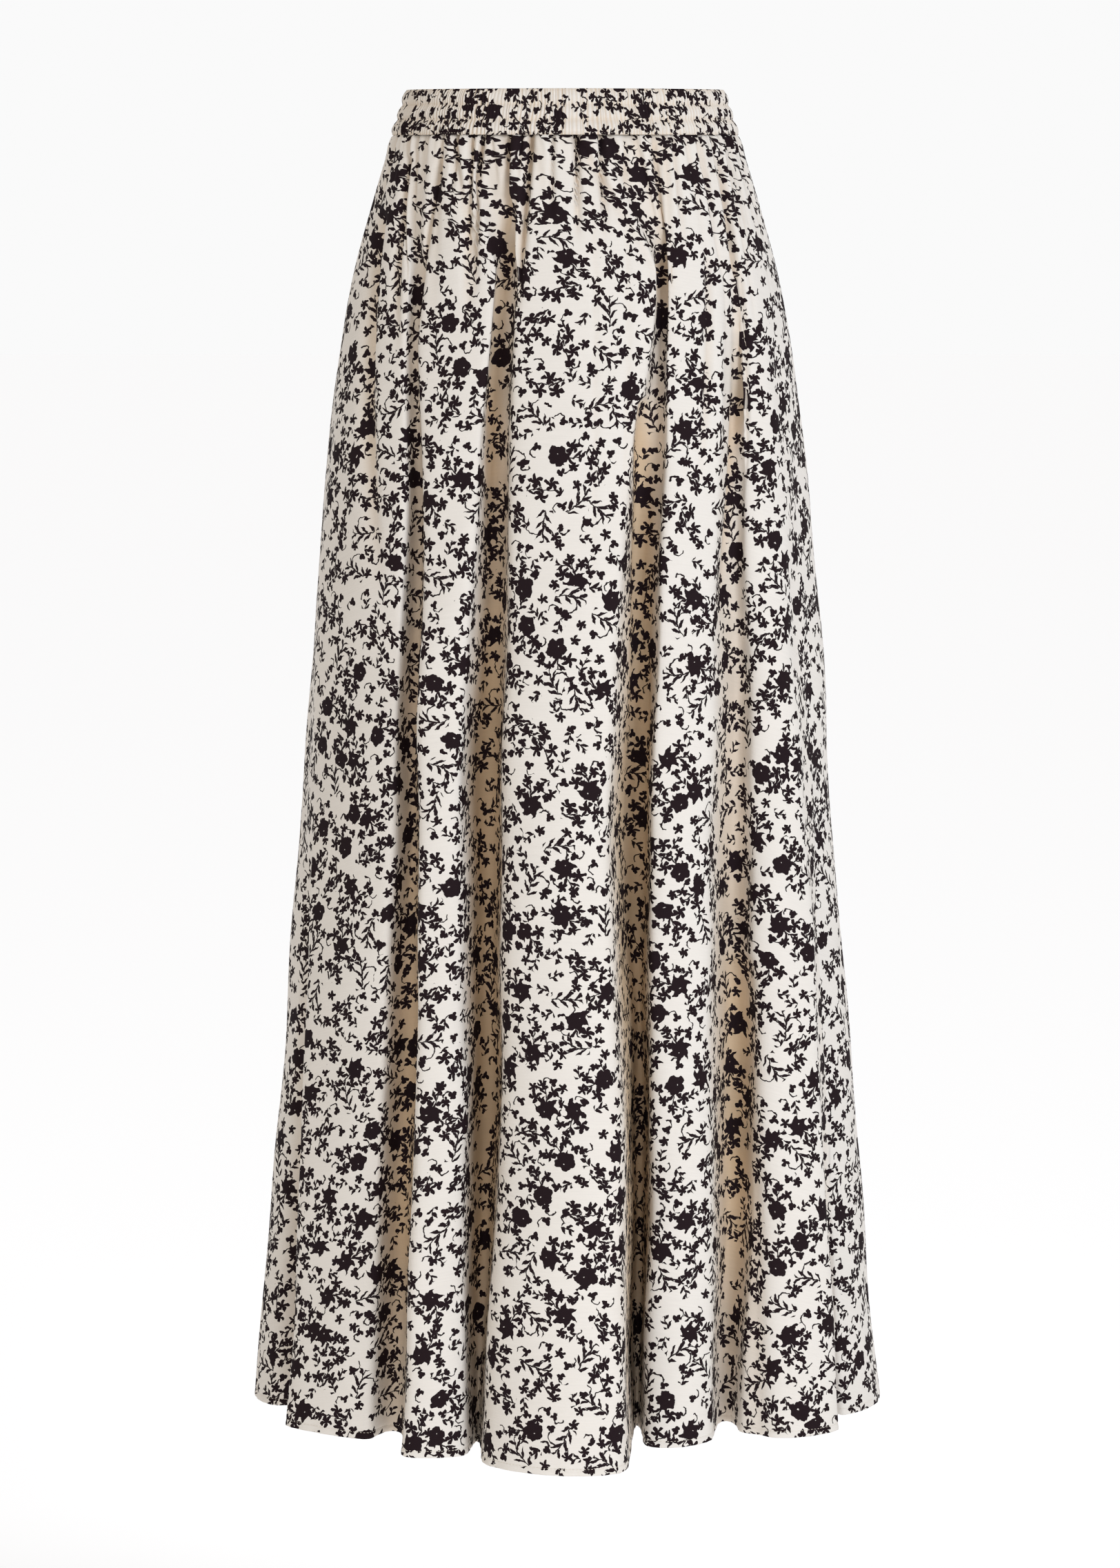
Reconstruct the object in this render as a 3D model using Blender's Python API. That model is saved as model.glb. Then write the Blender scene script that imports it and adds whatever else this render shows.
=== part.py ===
"""A maxi skirt: two flared panels gathered into a cased elastic waistband.

It is filled out as if worn, hollow from the waist to the hem. Lengths are metres,
+Z is up, the front faces -Y, and the origin is the middle of the waist, half way
up the waistband. "Drop" is the distance below that level. Angles go round the
figure in degrees: 0 is the front, 90 the +X side, 180 the back, -90 the -X side.
"""

from collections import namedtuple

import bmesh
import bpy
import numpy as np

# Driving sizes
BAND_HEIGHT = 0.032
HEM_DROP = 0.948
SEAM_GAP = 0.0003
CLOTH_WALL = 0.0012
BAND_WALL = 0.0022

BAND_LOW = BAND_HEIGHT / 2
SKIRT_TOP = BAND_LOW + SEAM_GAP

# Counts of the meshes
PANEL_COLUMNS = 96
PANEL_ROWS = 12
ROW_SPREAD = 1.45
BAND_RIBS = 50  # on each half of the waistband
BAND_CHANNELS = 3
ROWS_PER_CHANNEL = 2
ALL_GATHERS = 48  # under the whole waistband

# Sizes of the small forms
CHANNEL_PUFF = 0.0012
RIB_HEIGHT = 0.0012
RIB_AT_STITCHES = 0.4  # of a rib's height where a line of stitches holds it down
GATHER_DEPTH = 0.0034
LEAST_DEPTH = 0.35  # of a shallow gather, as a share of a deep one
GATHER_LENGTH = 0.075
SHORTEST_LENGTH = 0.3  # added to each gather's share of the length
EVEN_UNTIL = 0.11  # the drop at which the even fullness at the waistband has run into the flutes
CLEAR_FOLD = 0.008  # a valley this deep has gathered the fullness round it
SWELL = 0.0012  # the corners stand out by this much, because the rounded section cuts inside them
HIP_RADIUS = 0.15
SHARP_ANGLE = np.radians(60)

# The rounded-out figure that the cloth hangs on, before its folds
Level = namedtuple("Level", "drop half_width front_reach back_reach")
LEVELS = (
    Level(-0.016, 0.1125, 0.0885, 0.0885),
    Level(-0.006, 0.1155, 0.0900, 0.0900),
    Level(0.016, 0.1230, 0.0950, 0.0960),
    Level(0.067, 0.1388, 0.1060, 0.1100),
    Level(0.116, 0.1524, 0.1170, 0.1240),
    Level(0.166, 0.1627, 0.1260, 0.1350),
    Level(0.216, 0.1702, 0.1340, 0.1430),
    Level(0.316, 0.1809, 0.1470, 0.1530),
    Level(0.417, 0.1886, 0.1580, 0.1610),
    Level(0.519, 0.1956, 0.1680, 0.1690),
    Level(0.620, 0.2042, 0.1780, 0.1770),
    Level(0.725, 0.2134, 0.1880, 0.1860),
    Level(0.830, 0.2226, 0.1970, 0.1950),
    Level(0.948, 0.2336, 0.2065, 0.2040),
)

# Flutes, in order round the figure. left and right are the angles of a flute's edges
# and valley the depth in mm of the hollow after it, each at the drops in STATIONS.
# lip_in, crest_in and fall_in say how far in mm its left edge, its middle and its
# right edge stay inside the figure at the hem.
STATIONS = (0.016, 0.10, 0.25, 0.46, 0.70, 0.948)
CREST_GROWTH = (0.0, 0.06, 0.20, 0.42, 0.70, 1.0)
Flute = namedtuple("Flute", "name left right valley lip_in crest_in fall_in")
FLUTES = (
    Flute("side_left", (-104, -104, -103, -102, -100, -98), (-80, -80, -80, -81, -82, -82),
          (0, 0, 0, 3, 28, 58), 4, 0, 16),
    Flute("front_1", (-76, -76, -76, -74, -69, -66), (-51, -48, -41, -40.5, -40.3, -39.5),
          (2, 12, 30, 52, 70, 84), 13, 31, 48),
    Flute("front_2", (-47, -43, -35.5, -33.2, -30.7, -30.8), (-23, -19, -20.5, -22.6, -20.2, -18),
          (3, 16, 38, 66, 82, 86), 23, 29, 45),
    Flute("front_3", (-18, -14, -12.8, -13.3, -12.6, -15), (32, 26, 15, 9, 10.6, 10.8),
          (3, 14, 36, 64, 100, 130), 25, 0, 6),
    Flute("front_4", (35, 28.5, 23.8, 18.7, 16.7, 14.0), (55, 47, 39, 33, 30, 28),
          (1, 6, 26, 56, 86, 112), 72, 60, 68),
    Flute("front_5", (59, 53, 48, 47, 42, 34), (72, 70, 67, 65, 63, 62),
          (0, 0, 0, 4, 16, 44), 76, 30, 12),
    Flute("side_right", (78, 77, 76, 75, 73, 71), (104, 104, 104, 104, 104, 105),
          (1, 4, 12, 24, 42, 60), 24, -6, 0),
    Flute("back_1", (110, 111, 112, 114, 116, 117), (132, 133, 134, 135, 137, 138),
          (2, 6, 18, 36, 56, 76), 14, 4, 12),
    Flute("back_2", (140, 141, 142, 143, 145, 146), (160, 160, 161, 162, 163, 164),
          (2, 10, 24, 44, 62, 84), 10, 0, 14),
    Flute("back_3", (166, 167, 168, 170, 171, 172), (186, 187, 188, 189, 190, 191),
          (3, 9, 20, 36, 52, 68), 12, 0, 8),
    Flute("back_4", (194, 195, 196, 198, 199, 200), (212, 213, 214, 215, 216, 217),
          (2, 9, 24, 44, 64, 88), 16, 6, 18),
    Flute("back_5", (221, 222, 223, 225, 226, 227), (241, 242, 243, 245, 247, 248),
          (1, 4, 12, 26, 42, 60), 10, 0, 8),
)

# A flute has four corners over its crest and four down, along and up the valley after
# it. These are their places as shares of the crest's width and of the valley's mouth,
# and how far down its two slopes the valley's outer corners stand. The valleys behind
# the side seams fall less steeply.
POINTS_PER_FLUTE = 8
CORNERS = POINTS_PER_FLUTE * len(FLUTES)
LEFT_SEAM = 1.5  # the place of the left side seam, in corners: the middle of the first crest
CREST_AT = np.array([0, 0.33, 0.67, 1])
VALLEY_AT = np.array([0.08, 0.42, 0.92, 1])
BACK_VALLEY_AT = np.array([0.15, 0.55, 0.92, 1])
CREST_SHARE = 0.7  # of the middle of the crest, in the two corners nearest it
FALL_SHARE = 0.20
RISE_SHARE = 0.25

# Slow changes round the waist that make the gathers uneven, about a mean of a half
Change = namedtuple("Change", "times_round share turned")
UNEVENNESS = (Change(19, 0.28, 1.0), Change(41, 0.22, 0.0))

# Single tucks that start at the waistband or below it and fade out: the angle and
# the drop of each end, the depth and half the width in mm. Along its length a tuck has
# these shares of its depth.
TUCK_ALONG = (0, 0.08, 0.6, 1)
TUCK_STRENGTH = (0.5, 1, 1, 0)
Tuck = namedtuple("Tuck", "name angle drop end_angle end_drop depth half_width")
TUCKS = (
    Tuck("left_hip", -68, 0.07, -47, 0.34, 6, 11),
    Tuck("left_front", -60, 0.03, -47, 0.17, 5, 6),
    Tuck("left_short", -32, 0.016, -25, 0.12, 4.5, 5),
    Tuck("centre_left", -10.5, 0.016, -12, 0.15, 4.5, 5),
    Tuck("centre", -3, 0.016, -4, 0.09, 3, 4),
    Tuck("centre_right", 7, 0.016, 8, 0.12, 3.5, 5),
    Tuck("right_short", 26, 0.016, 22, 0.14, 5, 5),
    Tuck("back_left", 230, 0.05, 219, 0.30, 6, 11),
    Tuck("back_centre", 176, 0.016, 178, 0.16, 4.5, 6),
    Tuck("back_right", 132, 0.05, 143, 0.28, 6, 11),
)


def smoothly(at, known, values):
    """The value at one place on a smooth curve through the known ones."""
    known, values = np.array(known), np.array(values, float)
    slopes = np.gradient(values, known)
    i = np.clip(np.searchsorted(known, at) - 1, 0, len(known) - 2)
    step = known[i + 1] - known[i]
    t = np.clip((at - known[i]) / step, 0, 1)
    from_below = (1 + 2 * t) * (1 - t) ** 2 * values[i] + t * (1 - t) ** 2 * step * slopes[i]
    from_above = t**2 * (3 - 2 * t) * values[i + 1] - t**2 * (1 - t) * step * slopes[i + 1]
    return from_below + from_above


def at_drop(drop, values):
    return smoothly(drop, STATIONS, values)


def figure(drop, degrees):
    """The point of the plain figure at this drop and angle, and the way folds go in from it."""
    drops = [level.drop for level in LEVELS]
    half_width = smoothly(drop, drops, [level.half_width for level in LEVELS])
    turned = (degrees + 90) % 360 - 90
    behind = turned > 90
    side = np.where(behind, -1.0, 1.0)
    from_middle = np.where(behind, turned - 180, turned)
    front = smoothly(drop, drops, [level.front_reach for level in LEVELS])
    back = smoothly(drop, drops, [level.back_reach for level in LEVELS])
    reach = np.where(behind, back, front)
    angle = np.radians(from_middle)
    # Folds run straight back near the middle of each side and towards the axis at the seams.
    inward = np.pi / 2 * (from_middle / 90) ** 3
    x = side * half_width * np.sin(angle)
    y = -side * reach * np.cos(angle)
    return np.stack([x, y], -1), side[..., None] * np.stack([-np.sin(inward), np.cos(inward)], -1)


def outline_points(drop):
    """The corner points of the folded section at one drop, in order round the figure."""
    growth = at_drop(drop, CREST_GROWTH)
    near_band = np.interp(drop, (SKIRT_TOP, EVEN_UNTIL), (1.0, 0.0))
    angles, insets = [], []
    for flute, following in zip(FLUTES, FLUTES[1:] + FLUTES[:1]):
        left, right = at_drop(drop, flute.left), at_drop(drop, flute.right)
        next_left = at_drop(drop, following.left)
        if following is FLUTES[0]:
            next_left += 360
        wide, mouth = right - left, next_left - right
        valley_at = BACK_VALLEY_AT if right > 90 else VALLEY_AT
        folded = left + np.concatenate([CREST_AT * wide, wide + valley_at * mouth])
        even = np.linspace(left, next_left, POINTS_PER_FLUTE, endpoint=False)
        valley = max(0.0, at_drop(drop, flute.valley)) / 1000
        evenness = max(near_band, 1 - valley / CLEAR_FOLD)
        angles += list(folded + evenness * (even - folded))
        insets_at_hem = (flute.lip_in, flute.crest_in, flute.fall_in, following.lip_in)
        lip, crest, fall, next_lip = (inset / 1000 * growth for inset in insets_at_hem)
        floor = max(valley, fall, next_lip)
        insets += [
            lip,
            lip + CREST_SHARE * (crest - lip),
            fall + CREST_SHARE * (crest - fall),
            fall,
            fall + FALL_SHARE * (floor - fall),
            floor,
            floor,
            next_lip + RISE_SHARE * (floor - next_lip),
        ]
    return np.array(angles), np.array(insets) - SWELL


def blend_of_corners(place):
    """The four corners that a smooth closed curve mixes at each place, and their shares."""
    first = np.floor(place).astype(int)
    t = place - first
    shares = np.stack([(1 - t) ** 3, 3 * t**3 - 6 * t**2 + 4, -3 * t**3 + 3 * t**2 + 3 * t + 1, t**3], -1)
    corners = first[:, None] + np.arange(-1, 3)
    return corners, shares / 6


def section(drop, place):
    """Plan points of the folded section, and the angle that each one belongs to."""
    angles, insets = outline_points(drop)
    corners, shares = blend_of_corners(place)
    turns = np.floor_divide(corners, CORNERS)
    angle_of = angles[corners % CORNERS] + 360 * turns
    on_figure, inward = figure(drop, angle_of)
    inset = insets[corners % CORNERS]
    plan = ((on_figure + inward * inset[..., None]) * shares[..., None]).sum(1)
    return plan, (angle_of * shares).sum(1)


def gather_depth(drop, angle, place):
    """How far in the small gathers and the tucks pull the cloth at each place."""
    below = drop - SKIRT_TOP
    number = (place - LEFT_SEAM) / CORNERS * ALL_GATHERS  # whole at each gap between gathers
    turn = 2 * np.pi * number / ALL_GATHERS
    fullness = 0.5 + sum(c.share * np.sin(c.times_round * turn + c.turned) for c in UNEVENNESS)
    length = GATHER_LENGTH * (SHORTEST_LENGTH + fullness)
    pull = GATHER_DEPTH * (LEAST_DEPTH + (1 - LEAST_DEPTH) * fullness) * np.exp(-((below / length) ** 2))
    depth = pull * (0.5 - 0.5 * np.cos(2 * np.pi * number))
    for tuck in TUCKS:
        along = (drop - tuck.drop) / (tuck.end_drop - tuck.drop)
        if not 0 <= along <= 1:
            continue
        middle = tuck.angle + along * (tuck.end_angle - tuck.angle)
        half_width = np.degrees(tuck.half_width / 1000 / HIP_RADIUS)
        away = ((angle - middle + 180) % 360 - 180) / half_width
        strength = np.interp(along, TUCK_ALONG, TUCK_STRENGTH)
        depth = depth + tuck.depth / 1000 * strength * np.exp(-(away**2))
    return depth


def inward_of(plan):
    """Unit vectors that point into a closed section, which runs anticlockwise seen from above."""
    along = np.roll(plan, -1, axis=0) - np.roll(plan, 1, axis=0)
    across = np.stack([-along[:, 1], along[:, 0]], -1)
    return across / np.linalg.norm(across, axis=1, keepdims=True)


def ring(drop):
    """Outer and inner plan points of the whole skirt at one drop, from the left seam round."""
    place = LEFT_SEAM + np.arange(2 * PANEL_COLUMNS) * CORNERS / (2 * PANEL_COLUMNS)
    plan, angle = section(drop, place)
    plan = plan + inward_of(plan) * gather_depth(drop, angle, place)[:, None]
    return plan, plan + inward_of(plan) * CLOTH_WALL


def row_drops():
    """Drops of a panel's rows: close together in the gathers, wider towards the hem."""
    share = np.linspace(0, 1, PANEL_ROWS + 1)
    return SKIRT_TOP + (HEM_DROP - SKIRT_TOP) * share**ROW_SPREAD


def cloth_material(name, colour, roughness):
    material = bpy.data.materials.new(name)
    material.use_nodes = True
    shader = material.node_tree.nodes["Principled BSDF"]
    shader.inputs["Base Color"].default_value = (*colour, 1)
    shader.inputs["Roughness"].default_value = roughness
    shader.inputs["Metallic"].default_value = 0
    return material


def cloth_wall(name, outer, inner, backwards, material, collection):
    """A closed wall of cloth between two surfaces, given as points[column, row].

    backwards is the way in Y from the side seams to this piece, which keeps
    half the seam gap clear at both of its ends.
    """
    columns, rows = outer.shape[0] - 1, outer.shape[1] - 1
    points = np.stack([inner, outer])
    points[:, [0, -1], :, 1] += backwards * SEAM_GAP / 2
    wall = bmesh.new()
    bmesh.ops.create_grid(wall, x_segments=columns, y_segments=rows, size=1)
    made = bmesh.ops.extrude_face_region(wall, geom=wall.faces[:], use_keep_orig=True)
    raised = [item for item in made["geom"] if isinstance(item, bmesh.types.BMVert)]
    bmesh.ops.translate(wall, verts=raised, vec=(0, 0, 1))
    # The flat slab is turned outwards here, and bending it round the figure keeps it so.
    bmesh.ops.recalc_face_normals(wall, faces=wall.faces)
    for vertex in wall.verts:
        column = round((vertex.co.x + 1) / 2 * columns)
        row = round((1 - vertex.co.y) / 2 * rows)
        vertex.co = points[round(vertex.co.z), column, row]
    mesh = bpy.data.meshes.new(name)
    wall.to_mesh(mesh)
    wall.free()
    mesh.shade_smooth()
    mesh.set_sharp_from_angle(angle=SHARP_ANGLE)
    piece = bpy.data.objects.new(name, mesh)
    piece.data.materials.append(material)
    collection.objects.link(piece)
    return piece


def skirt_surfaces():
    """The outer and inner points of the whole skirt, closed round the left seam."""
    drops = row_drops()
    surfaces = []
    for plans in zip(*(ring(drop) for drop in drops)):
        plan = np.stack(plans, 1)
        plan = np.concatenate([plan, plan[:1]])
        height = np.broadcast_to(-drops[None, :, None], plan.shape[:2] + (1,))
        surfaces.append(np.concatenate([plan, height], -1))
    return surfaces


def band_surfaces():
    """The outer points of the whole waistband, raised in ribs, and its plain inner ones."""
    share_down = np.linspace(0, 1, BAND_CHANNELS * ROWS_PER_CHANNEL + 1)
    angle = np.linspace(-90, 270, 4 * BAND_RIBS + 1)
    on_rib = np.arange(len(angle)) % 2
    surfaces = [[], []]
    for share in share_down:
        drop = BAND_LOW * (2 * share - 1)
        on_figure, inward = figure(drop, angle)
        # The cloth puffs out over each band of elastic, between the stitched lines.
        puff = CHANNEL_PUFF * abs(np.sin(np.pi * BAND_CHANNELS * share))
        held = RIB_AT_STITCHES + (1 - RIB_AT_STITCHES) * puff / CHANNEL_PUFF
        rib = RIB_HEIGHT * on_rib * held
        height = np.full((len(angle), 1), -drop)
        surfaces[0].append(np.hstack([on_figure - inward * (puff + rib)[:, None], height]))
        surfaces[1].append(np.hstack([on_figure + inward * BAND_WALL, height]))
    return [np.stack(rows, 1) for rows in surfaces]


def main():
    for item in list(bpy.data.objects):
        bpy.data.objects.remove(item)
    collection = bpy.data.collections.new("maxi_skirt")
    bpy.context.scene.collection.children.link(collection)
    printed_cloth = cloth_material("printed_cloth", (0.62, 0.57, 0.50), 0.75)
    cased_elastic = cloth_material("cased_elastic", (0.58, 0.53, 0.46), 0.8)
    for name, (outer, inner), material in (
        ("skirt", skirt_surfaces(), printed_cloth),
        ("waistband", band_surfaces(), cased_elastic),
    ):
        half = outer.shape[0] // 2
        cloth_wall(name + "_front", outer[: half + 1], inner[: half + 1], -1, material, collection)
        cloth_wall(name + "_back", outer[half:], inner[half:], 1, material, collection)


main()
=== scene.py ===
# %% [markdown]
# # A maxi skirt gathered into an elastic waistband
#
# This lesson dresses a finished CAD model of a long skirt in cloth. The skirt has four
# sewn pieces: a front and a back panel, and the two halves of a waistband with three
# casings for elastic. It is shown filled out as if worn, open at the waist and the hem.
#
# The CAD model gives the size and the place of everything. Each piece made here stands
# in for one of its solids, and follows the same form with the fine gathers, the turned
# hem, the sewing and the print that a solid can't hold.

import math
from collections import namedtuple

import bmesh
import bpy
import numpy as np
from mathutils import Matrix, Vector


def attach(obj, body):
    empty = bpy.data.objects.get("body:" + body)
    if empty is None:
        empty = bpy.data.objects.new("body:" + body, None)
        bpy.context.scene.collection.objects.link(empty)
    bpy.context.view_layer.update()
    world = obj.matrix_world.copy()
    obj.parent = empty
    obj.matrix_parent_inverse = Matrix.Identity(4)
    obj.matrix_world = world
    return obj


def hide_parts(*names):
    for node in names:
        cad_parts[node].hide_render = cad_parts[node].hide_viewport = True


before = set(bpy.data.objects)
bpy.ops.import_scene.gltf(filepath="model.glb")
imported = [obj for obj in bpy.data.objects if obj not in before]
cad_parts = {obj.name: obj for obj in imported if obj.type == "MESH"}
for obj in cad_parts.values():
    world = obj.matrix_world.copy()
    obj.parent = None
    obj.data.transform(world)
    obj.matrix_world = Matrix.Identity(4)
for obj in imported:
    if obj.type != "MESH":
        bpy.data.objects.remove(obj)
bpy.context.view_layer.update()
print("CAD nodes:", ", ".join(sorted(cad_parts)))

# %% [markdown]
# ## The view
#
# A long lens far away shows a garment without spreading it. This one stands level with
# the waist, a little left of the middle, and looks down by eight degrees, so the
# waistband is seen straight on and the hem from slightly above.

# %% Place the camera
CAMERA_PLACE = (-0.0038, -3.25, -0.0287)
LOOKS_DOWN = math.radians(8.01)
LENS_MM = 102.95

camera = bpy.data.objects.new("camera", bpy.data.cameras.new("camera"))
camera.data.lens = LENS_MM
camera.data.sensor_width = 36
camera.location = CAMERA_PLACE
camera.rotation_euler = (math.pi / 2 - LOOKS_DOWN, 0, 0)
bpy.context.scene.collection.objects.link(camera)
bpy.context.scene.camera = camera
print("camera", round(CAMERA_PLACE[1], 2), "m in front, lens", LENS_MM, "mm")

# %% [markdown]
# ## The figure under the cloth
#
# Cloth that is gathered at the waist hangs in flutes: round crests parted by deep
# valleys, few and broad at the hem, many and shallow at the waist. So the form is built
# in two steps. A plain rounded figure gives the outline, as half widths and reaches at
# some levels. Then each flute says between which angles its crest lies and how deep the
# valley after it goes, from the waist to the hem.
#
# A cloth simulation could find such folds by itself, but not these folds: each one is
# listed instead, which also keeps the cloth exactly on its solid.

# %% Sizes and tables of the form
BAND_HEIGHT = 0.032
HEM_DROP = 0.948
SEAM_GAP = 0.0003
BAND_LOW = BAND_HEIGHT / 2
SKIRT_TOP = BAND_LOW + SEAM_GAP
EVEN_UNTIL = 0.11  # the drop where the even fullness of the waist has run into the flutes
CLEAR_FOLD = 0.008  # a valley this deep has gathered the fullness round it
SWELL = 0.0012  # the corners stand out by this, as the rounded section cuts inside them
HIP_RADIUS = 0.15

# The rounded-out figure that the cloth hangs on, before its folds
Level = namedtuple("Level", "drop half_width front_reach back_reach")
LEVELS = [Level(*row) for row in (
    (-0.016, 0.1125, 0.0885, 0.0885),
    (-0.006, 0.1155, 0.0900, 0.0900),
    (0.016, 0.1230, 0.0950, 0.0960),
    (0.067, 0.1388, 0.1060, 0.1100),
    (0.116, 0.1524, 0.1170, 0.1240),
    (0.166, 0.1627, 0.1260, 0.1350),
    (0.216, 0.1702, 0.1340, 0.1430),
    (0.316, 0.1809, 0.1470, 0.1530),
    (0.417, 0.1886, 0.1580, 0.1610),
    (0.519, 0.1956, 0.1680, 0.1690),
    (0.620, 0.2042, 0.1780, 0.1770),
    (0.725, 0.2134, 0.1880, 0.1860),
    (0.830, 0.2226, 0.1970, 0.1950),
    (0.948, 0.2336, 0.2065, 0.2040),
)]

# Flutes, in order round the figure. left and right are the angles of a flute's edges
# and valley the depth in mm of the hollow after it, each at the drops in STATIONS.
# lip_in, crest_in and fall_in say how far in mm its left edge, its middle and its
# right edge stay inside the figure at the hem.
STATIONS = (0.016, 0.10, 0.25, 0.46, 0.70, 0.948)
CREST_GROWTH = (0.0, 0.06, 0.20, 0.42, 0.70, 1.0)
Flute = namedtuple("Flute", "name left right valley lip_in crest_in fall_in")
FLUTES = [Flute(*row) for row in (
    ("side_left", (-104, -104, -103, -102, -100, -98), (-80, -80, -80, -81, -82, -82),
     (0, 0, 0, 3, 28, 58), 4, 0, 16),
    ("front_1", (-76, -76, -76, -74, -69, -66), (-51, -48, -41, -40.5, -40.3, -39.5),
     (2, 12, 30, 52, 70, 84), 13, 31, 48),
    ("front_2", (-47, -43, -35.5, -33.2, -30.7, -30.8), (-23, -19, -20.5, -22.6, -20.2, -18),
     (3, 16, 38, 66, 82, 86), 23, 29, 45),
    ("front_3", (-18, -14, -12.8, -13.3, -12.6, -15), (32, 26, 15, 9, 10.6, 10.8),
     (3, 14, 36, 64, 100, 130), 25, 0, 6),
    ("front_4", (35, 28.5, 23.8, 18.7, 16.7, 14.0), (55, 47, 39, 33, 30, 28),
     (1, 6, 26, 56, 86, 112), 72, 60, 68),
    ("front_5", (59, 53, 48, 47, 42, 34), (72, 70, 67, 65, 63, 62),
     (0, 0, 0, 4, 16, 44), 76, 30, 12),
    ("side_right", (78, 77, 76, 75, 73, 71), (104, 104, 104, 104, 104, 105),
     (1, 4, 12, 24, 42, 60), 24, -6, 0),
    ("back_1", (110, 111, 112, 114, 116, 117), (132, 133, 134, 135, 137, 138),
     (2, 6, 18, 36, 56, 76), 14, 4, 12),
    ("back_2", (140, 141, 142, 143, 145, 146), (160, 160, 161, 162, 163, 164),
     (2, 10, 24, 44, 62, 84), 10, 0, 14),
    ("back_3", (166, 167, 168, 170, 171, 172), (186, 187, 188, 189, 190, 191),
     (3, 9, 20, 36, 52, 68), 12, 0, 8),
    ("back_4", (194, 195, 196, 198, 199, 200), (212, 213, 214, 215, 216, 217),
     (2, 9, 24, 44, 64, 88), 16, 6, 18),
    ("back_5", (221, 222, 223, 225, 226, 227), (241, 242, 243, 245, 247, 248),
     (1, 4, 12, 26, 42, 60), 10, 0, 8),
)]

# A flute has four corners over its crest and four down, along and up the valley after
# it. These are their places as shares of the crest's width and of the valley's mouth,
# and how far down its two slopes the valley's outer corners stand. The valleys behind
# the side seams fall less steeply.
POINTS_PER_FLUTE = 8
CORNERS = POINTS_PER_FLUTE * len(FLUTES)
LEFT_SEAM = 1.5  # the place of the left side seam, in corners: the middle of the first crest
CREST_AT = np.array([0, 0.33, 0.67, 1])
VALLEY_AT = np.array([0.08, 0.42, 0.92, 1])
BACK_VALLEY_AT = np.array([0.15, 0.55, 0.92, 1])
CREST_SHARE = 0.7  # of the middle of the crest, in the two corners nearest it
FALL_SHARE = 0.20
RISE_SHARE = 0.25

# %% [markdown]
# ## From the tables to a folded section
#
# At any level the tables give eight corner points for each flute: four over its crest
# and four down, along and up its valley. A cubic B-spline through all of them, closed
# round the figure, is the section of the skirt there. A spline never kinks and never
# strays far from its corners, so neighbouring walls stay apart.

# %% The folded section at any level


def smoothly(at, known, values):
    """The value at one place on a smooth curve through the known ones."""
    known, values = np.array(known), np.array(values, float)
    slopes = np.gradient(values, known)
    i = np.clip(np.searchsorted(known, at) - 1, 0, len(known) - 2)
    step = known[i + 1] - known[i]
    t = np.clip((at - known[i]) / step, 0, 1)
    from_below = (1 + 2 * t) * (1 - t) ** 2 * values[i] + t * (1 - t) ** 2 * step * slopes[i]
    from_above = t**2 * (3 - 2 * t) * values[i + 1] - t**2 * (1 - t) * step * slopes[i + 1]
    return from_below + from_above


def at_drop(drop, values):
    return smoothly(drop, STATIONS, values)


def figure(drop, degrees):
    """The point of the plain figure at this drop and angle, and the way folds go in from it."""
    drops, *sizes = zip(*LEVELS)
    half_width, front, back = (smoothly(drop, drops, values) for values in sizes)
    turned = (degrees + 90) % 360 - 90
    behind = turned > 90
    side = np.where(behind, -1.0, 1.0)
    from_middle = np.where(behind, turned - 180, turned)
    reach = np.where(behind, back, front)
    angle = np.radians(from_middle)
    # Folds run straight back near the middle of each side and towards the axis at the seams.
    inward = np.pi / 2 * (from_middle / 90) ** 3
    x = side * half_width * np.sin(angle)
    y = -side * reach * np.cos(angle)
    return np.stack([x, y], -1), side[..., None] * np.stack([-np.sin(inward), np.cos(inward)], -1)


def outline_points(drop):
    """The corners of the folded section at one drop, in order round the figure: their angles,
    how far inside the figure they lie, and how far inside the mouth of their valley."""
    growth = at_drop(drop, CREST_GROWTH)
    near_band = np.interp(drop, (SKIRT_TOP, EVEN_UNTIL), (1.0, 0.0))
    angles, insets, folds = [], [], []
    for flute, following in zip(FLUTES, FLUTES[1:] + FLUTES[:1]):
        left, right = at_drop(drop, flute.left), at_drop(drop, flute.right)
        next_left = at_drop(drop, following.left)
        if following is FLUTES[0]:
            next_left += 360
        wide, mouth = right - left, next_left - right
        valley_at = BACK_VALLEY_AT if right > 90 else VALLEY_AT
        folded = left + np.concatenate([CREST_AT * wide, wide + valley_at * mouth])
        even = np.linspace(left, next_left, POINTS_PER_FLUTE, endpoint=False)
        valley = max(0.0, at_drop(drop, flute.valley)) / 1000
        evenness = max(near_band, 1 - valley / CLEAR_FOLD)
        angles += list(folded + evenness * (even - folded))
        insets_at_hem = (flute.lip_in, flute.crest_in, flute.fall_in, following.lip_in)
        lip, crest, fall, next_lip = (inset / 1000 * growth for inset in insets_at_hem)
        floor = max(valley, fall, next_lip)
        insets += [
            lip,
            lip + CREST_SHARE * (crest - lip),
            fall + CREST_SHARE * (crest - fall),
            fall,
            fall + FALL_SHARE * (floor - fall),
            floor,
            floor,
            next_lip + RISE_SHARE * (floor - next_lip),
        ]
        deep = floor - (fall + next_lip) / 2
        folds += [0, 0, 0, 0]
        folds += [FALL_SHARE * (floor - fall), deep, deep, RISE_SHARE * (floor - next_lip)]
    return np.array(angles), np.array(insets) - SWELL, np.array(folds)


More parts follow.
